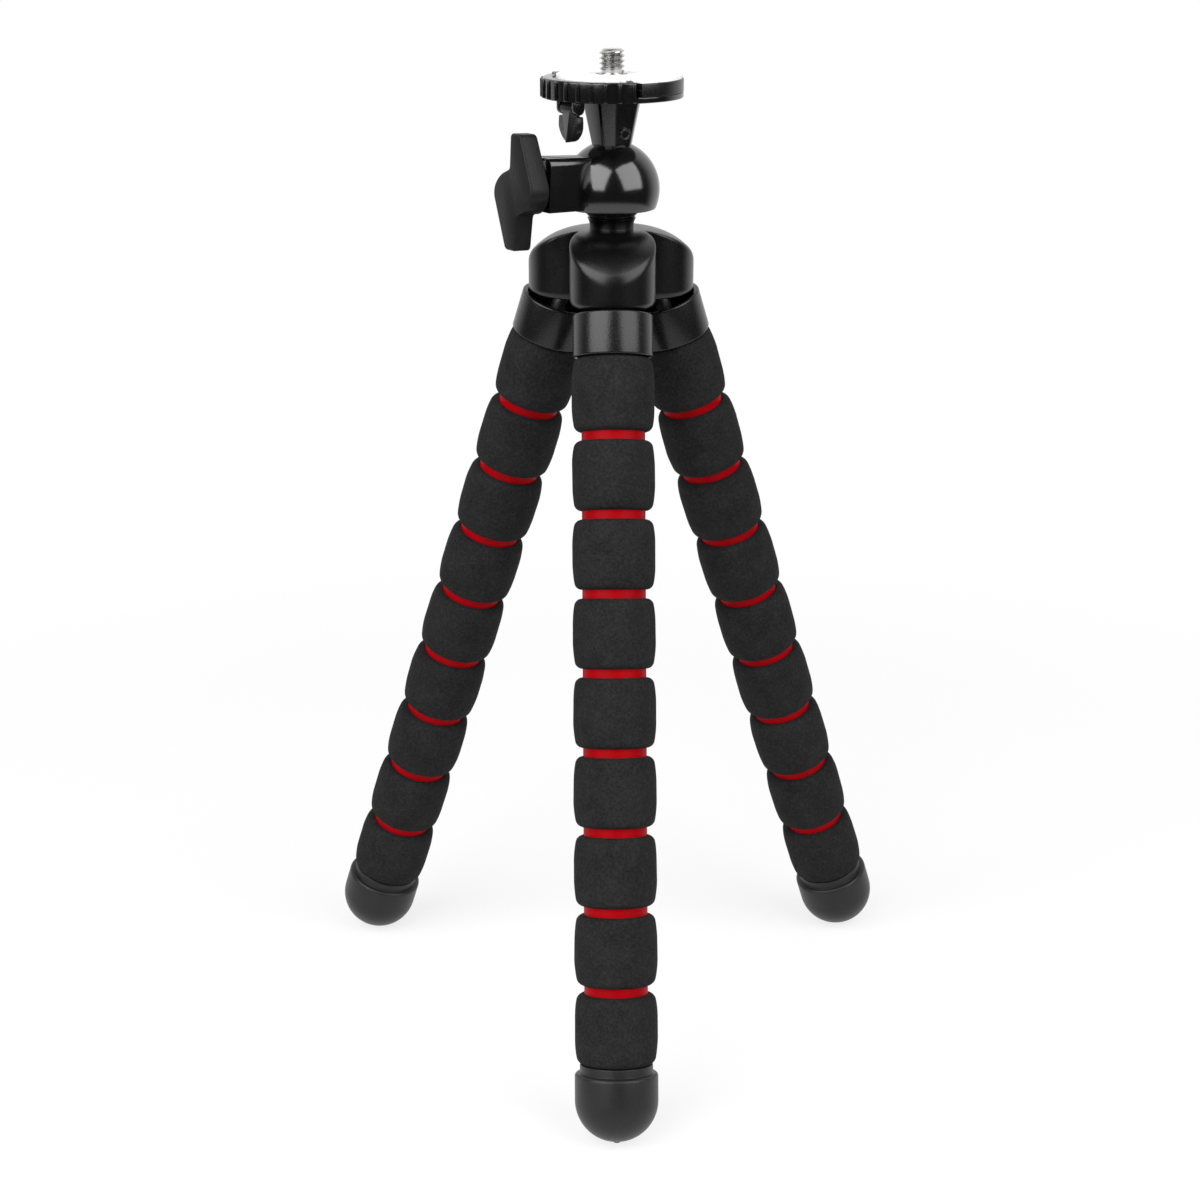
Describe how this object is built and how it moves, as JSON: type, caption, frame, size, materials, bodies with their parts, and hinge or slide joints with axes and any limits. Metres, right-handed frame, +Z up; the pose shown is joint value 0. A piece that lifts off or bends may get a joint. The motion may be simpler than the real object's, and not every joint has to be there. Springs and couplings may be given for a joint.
{
  "type": "flexible leg tripod",
  "caption": "Table tripod with bendable foam-sleeved legs, red bands between the sleeves, a lobed hub and a ball head with a wing knob and a quick-release camera plate.",
  "frame": {"origin": "on the floor, straight below the axis of the hub and head", "axes": "+Z up; the front leg points to -Y, the other two to the back left and back right"},
  "size_m": [0.1582, 0.1398, 0.2607],
  "materials": {
    "gloss_black": "glossy moulded black",
    "satin_black": "satin moulded black",
    "knob_grey": "fine textured dark grey",
    "foam": "matte charcoal foam, fine cells",
    "red_tube": "soft satin red",
    "foot_rubber": "matte dark grey",
    "wire": "plain drawn wire",
    "steel": "plain zinc",
    "bright_steel": "bright turned steel",
    "ball_metal": "turned",
    "white_plastic": "plain",
    "pale_pad": "matte, fine dotted grain"
  },
  "bodies": {
    "hub": {"hub_shell": "gloss_black", "hub_cover": "satin_black", "head_bolt": "steel", "ball_stem": "gloss_black"},
    "ball": {"ball": "ball_metal"},
    "socket": {"ball_socket": "gloss_black", "lock_nut": "steel", "brake_shoe": "white_plastic", "plate_holder": "gloss_black", "lever_pin": "steel"},
    "knob": {"lock_knob": "knob_grey", "lock_screw": "steel"},
    "lever": {"release_lever": "satin_black"},
    "plate": {"quick_release_plate": "satin_black", "plate_pad": "pale_pad"},
    "camera_screw": {"camera_screw": "bright_steel"},
    "front_link_1": {"front_collar": "satin_black", "front_core_wire": "wire", "front_inner_tube": "red_tube", "front_foam_1": "foam"},
    "front_link_2": {"front_foam_2": "foam"},
    "front_link_3": {"front_foam_3": "foam"},
    "front_link_4": {"front_foam_4": "foam"},
    "front_link_5": {"front_foam_5": "foam"},
    "front_link_6": {"front_foam_6": "foam"},
    "front_link_7": {"front_foam_7": "foam"},
    "front_link_8": {"front_foam_8": "foam"},
    "front_link_9": {"front_foam_9": "foam", "front_foot": "foot_rubber"},
    "left_link_1": {"left_collar": "satin_black", "left_core_wire": "wire", "left_inner_tube": "red_tube", "left_foam_1": "foam"},
    "left_link_2": {"left_foam_2": "foam"},
    "left_link_3": {"left_foam_3": "foam"},
    "left_link_4": {"left_foam_4": "foam"},
    "left_link_5": {"left_foam_5": "foam"},
    "left_link_6": {"left_foam_6": "foam"},
    "left_link_7": {"left_foam_7": "foam"},
    "left_link_8": {"left_foam_8": "foam"},
    "left_link_9": {"left_foam_9": "foam", "left_foot": "foot_rubber"},
    "right_link_1": {"right_collar": "satin_black", "right_core_wire": "wire", "right_inner_tube": "red_tube", "right_foam_1": "foam"},
    "right_link_2": {"right_foam_2": "foam"},
    "right_link_3": {"right_foam_3": "foam"},
    "right_link_4": {"right_foam_4": "foam"},
    "right_link_5": {"right_foam_5": "foam"},
    "right_link_6": {"right_foam_6": "foam"},
    "right_link_7": {"right_foam_7": "foam"},
    "right_link_8": {"right_foam_8": "foam"},
    "right_link_9": {"right_foam_9": "foam", "right_foot": "foot_rubber"}
  },
  "joints": [
    {"name": "head_pan", "type": "hinge", "parent": "hub", "child": "ball", "pos_m": [0, 0, 0.22602], "axis": [0, 0, 1], "continuous": true},
    {"name": "head_tilt", "type": "hinge", "parent": "ball", "child": "socket", "pos_m": [0, 0, 0.22602], "axis": [-0.8192, -0.5736, 0], "range_deg": [-15, 90]},
    {"name": "knob_turn", "type": "hinge", "parent": "socket", "child": "knob", "pos_m": [0, 0, 0.22602], "axis": [-0.818, -0.5728, 0.0523], "range_deg": [0, 270]},
    {"name": "lever_flip", "type": "hinge", "parent": "socket", "child": "lever", "pos_m": [-0.01038, -0.00782, 0.24702], "axis": [-0.6018, 0.7986, 0], "range_deg": [0, 80]},
    {"name": "plate_slide", "type": "slide", "parent": "socket", "child": "plate", "axis": [0.7986, 0.6018, 0], "range_m": [0, 0.04]},
    {"name": "camera_screw_turn", "type": "hinge", "parent": "plate", "child": "camera_screw", "pos_m": [0, 0, 0.25457], "axis": [0, 0, 1], "continuous": true},
    {"name": "front_spread", "type": "hinge", "parent": "hub", "child": "front_link_1", "pos_m": [0, -0.0136, 0.20112], "axis": [-1, 0, 0], "range_deg": [-19, 21], "deforming": ["front_core_wire", "front_inner_tube"]},
    {"name": "front_bend_1", "type": "hinge", "parent": "front_link_1", "child": "front_link_2", "pos_m": [0, -0.02509, 0.16774], "axis": [1, 0, 0], "range_deg": [-12, 12]},
    {"name": "front_bend_2", "type": "hinge", "parent": "front_link_2", "child": "front_link_3", "pos_m": [0, -0.03154, 0.14902], "axis": [0, -0.9455, 0.3256], "range_deg": [-12, 12]},
    {"name": "front_bend_3", "type": "hinge", "parent": "front_link_3", "child": "front_link_4", "pos_m": [0, -0.03798, 0.1303], "axis": [-1, 0, 0], "range_deg": [-12, 12]},
    {"name": "front_bend_4", "type": "hinge", "parent": "front_link_4", "child": "front_link_5", "pos_m": [0, -0.04443, 0.11158], "axis": [0, 0.9455, -0.3256], "range_deg": [-12, 12]},
    {"name": "front_bend_5", "type": "hinge", "parent": "front_link_5", "child": "front_link_6", "pos_m": [0, -0.05088, 0.09285], "axis": [1, 0, 0], "range_deg": [-12, 12]},
    {"name": "front_bend_6", "type": "hinge", "parent": "front_link_6", "child": "front_link_7", "pos_m": [0, -0.05732, 0.07413], "axis": [0, -0.9455, 0.3256], "range_deg": [-12, 12]},
    {"name": "front_bend_7", "type": "hinge", "parent": "front_link_7", "child": "front_link_8", "pos_m": [0, -0.06377, 0.05541], "axis": [-1, 0, 0], "range_deg": [-12, 12]},
    {"name": "front_bend_8", "type": "hinge", "parent": "front_link_8", "child": "front_link_9", "pos_m": [0, -0.07022, 0.03669], "axis": [0, 0.9455, -0.3256], "range_deg": [-12, 12]},
    {"name": "left_spread", "type": "hinge", "parent": "hub", "child": "left_link_1", "pos_m": [-0.01178, 0.0068, 0.20112], "axis": [0.5, 0.866, 0], "range_deg": [-19, 21], "deforming": ["left_core_wire", "left_inner_tube"]},
    {"name": "left_bend_1", "type": "hinge", "parent": "left_link_1", "child": "left_link_2", "pos_m": [-0.02173, 0.01255, 0.16774], "axis": [-0.5, -0.866, 0], "range_deg": [-12, 12]},
    {"name": "left_bend_2", "type": "hinge", "parent": "left_link_2", "child": "left_link_3", "pos_m": [-0.02731, 0.01577, 0.14902], "axis": [-0.8188, 0.4728, 0.3256], "range_deg": [-12, 12]},
    {"name": "left_bend_3", "type": "hinge", "parent": "left_link_3", "child": "left_link_4", "pos_m": [-0.0329, 0.01899, 0.1303], "axis": [0.5, 0.866, 0], "range_deg": [-12, 12]},
    {"name": "left_bend_4", "type": "hinge", "parent": "left_link_4", "child": "left_link_5", "pos_m": [-0.03848, 0.02222, 0.11158], "axis": [0.8188, -0.4728, -0.3256], "range_deg": [-12, 12]},
    {"name": "left_bend_5", "type": "hinge", "parent": "left_link_5", "child": "left_link_6", "pos_m": [-0.04406, 0.02544, 0.09285], "axis": [-0.5, -0.866, 0], "range_deg": [-12, 12]},
    {"name": "left_bend_6", "type": "hinge", "parent": "left_link_6", "child": "left_link_7", "pos_m": [-0.04964, 0.02866, 0.07413], "axis": [-0.8188, 0.4728, 0.3256], "range_deg": [-12, 12]},
    {"name": "left_bend_7", "type": "hinge", "parent": "left_link_7", "child": "left_link_8", "pos_m": [-0.05523, 0.03188, 0.05541], "axis": [0.5, 0.866, 0], "range_deg": [-12, 12]},
    {"name": "left_bend_8", "type": "hinge", "parent": "left_link_8", "child": "left_link_9", "pos_m": [-0.06081, 0.03511, 0.03669], "axis": [0.8188, -0.4728, -0.3256], "range_deg": [-12, 12]},
    {"name": "right_spread", "type": "hinge", "parent": "hub", "child": "right_link_1", "pos_m": [0.01178, 0.0068, 0.20112], "axis": [0.5, -0.866, 0], "range_deg": [-19, 21], "deforming": ["right_core_wire", "right_inner_tube"]},
    {"name": "right_bend_1", "type": "hinge", "parent": "right_link_1", "child": "right_link_2", "pos_m": [0.02173, 0.01255, 0.16774], "axis": [-0.5, 0.866, 0], "range_deg": [-12, 12]},
    {"name": "right_bend_2", "type": "hinge", "parent": "right_link_2", "child": "right_link_3", "pos_m": [0.02731, 0.01577, 0.14902], "axis": [0.8188, 0.4728, 0.3256], "range_deg": [-12, 12]},
    {"name": "right_bend_3", "type": "hinge", "parent": "right_link_3", "child": "right_link_4", "pos_m": [0.0329, 0.01899, 0.1303], "axis": [0.5, -0.866, 0], "range_deg": [-12, 12]},
    {"name": "right_bend_4", "type": "hinge", "parent": "right_link_4", "child": "right_link_5", "pos_m": [0.03848, 0.02222, 0.11158], "axis": [-0.8188, -0.4728, -0.3256], "range_deg": [-12, 12]},
    {"name": "right_bend_5", "type": "hinge", "parent": "right_link_5", "child": "right_link_6", "pos_m": [0.04406, 0.02544, 0.09285], "axis": [-0.5, 0.866, 0], "range_deg": [-12, 12]},
    {"name": "right_bend_6", "type": "hinge", "parent": "right_link_6", "child": "right_link_7", "pos_m": [0.04964, 0.02866, 0.07413], "axis": [0.8188, 0.4728, 0.3256], "range_deg": [-12, 12]},
    {"name": "right_bend_7", "type": "hinge", "parent": "right_link_7", "child": "right_link_8", "pos_m": [0.05523, 0.03188, 0.05541], "axis": [0.5, -0.866, 0], "range_deg": [-12, 12]},
    {"name": "right_bend_8", "type": "hinge", "parent": "right_link_8", "child": "right_link_9", "pos_m": [0.06081, 0.03511, 0.03669], "axis": [-0.8188, -0.4728, -0.3256], "range_deg": [-12, 12]}
  ]
}
